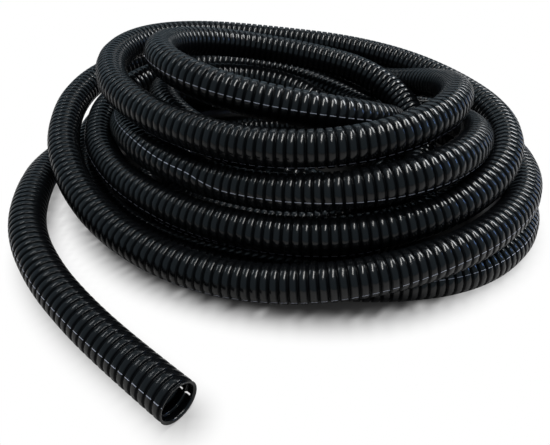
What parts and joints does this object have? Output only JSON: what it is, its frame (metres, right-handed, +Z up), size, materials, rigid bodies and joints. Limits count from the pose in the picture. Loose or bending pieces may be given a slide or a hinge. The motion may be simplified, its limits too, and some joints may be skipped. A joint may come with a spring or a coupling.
{
  "type": "corrugated conduit coil",
  "caption": "Loose coil of black split corrugated plastic conduit, with one open end lying out in front.",
  "frame": {"origin": "centre of the bounding box, at the floor that the coil lies on", "axes": "+Z up from the floor, -Y towards the side where the open end lies, +X to the right seen from there"},
  "size_m": [0.4186, 0.4302, 0.1282],
  "materials": {
    "black_plastic": "satin"
  },
  "bodies": {
    "root": {"conduit": "black_plastic"}
  },
  "joints": []
}
